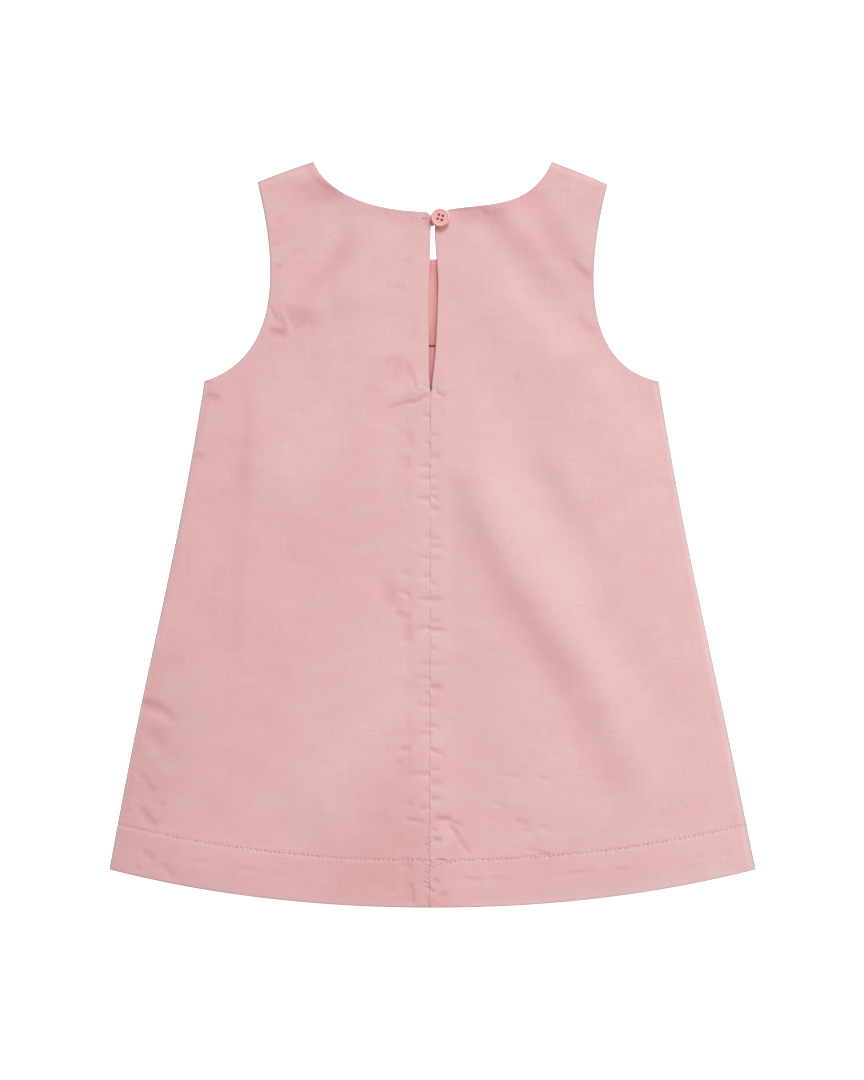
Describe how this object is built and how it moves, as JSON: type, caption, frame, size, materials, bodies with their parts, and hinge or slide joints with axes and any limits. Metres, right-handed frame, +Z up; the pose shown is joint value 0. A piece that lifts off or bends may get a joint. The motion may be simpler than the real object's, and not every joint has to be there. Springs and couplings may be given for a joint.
{
  "type": "a-line dress",
  "caption": "Small child's sleeveless A-line dress in plain woven cotton, laid flat with its back up: centre-back seam and slit, button and cord loop, wide stitched hem.",
  "frame": {"origin": "middle of the dress on the surface that it lies on", "axes": "+Y from the hem to the neck, +X to the right as the back is seen from above, +Z up out of the back"},
  "size_m": [0.356, 0.4104, 0.0075],
  "materials": {
    "cotton": "plain woven cotton, dusty pink, slightly crumpled",
    "facing": "the same cotton, its inner face",
    "button": "satin dyed resin",
    "thread": "matching sewing thread"
  },
  "bodies": {
    "root": {"front_panel": "cotton", "front_neck_facing": "facing", "back_panel_left": "cotton", "back_panel_right": "cotton", "button": "button", "button_thread": "thread", "button_loop": "thread"}
  },
  "joints": []
}
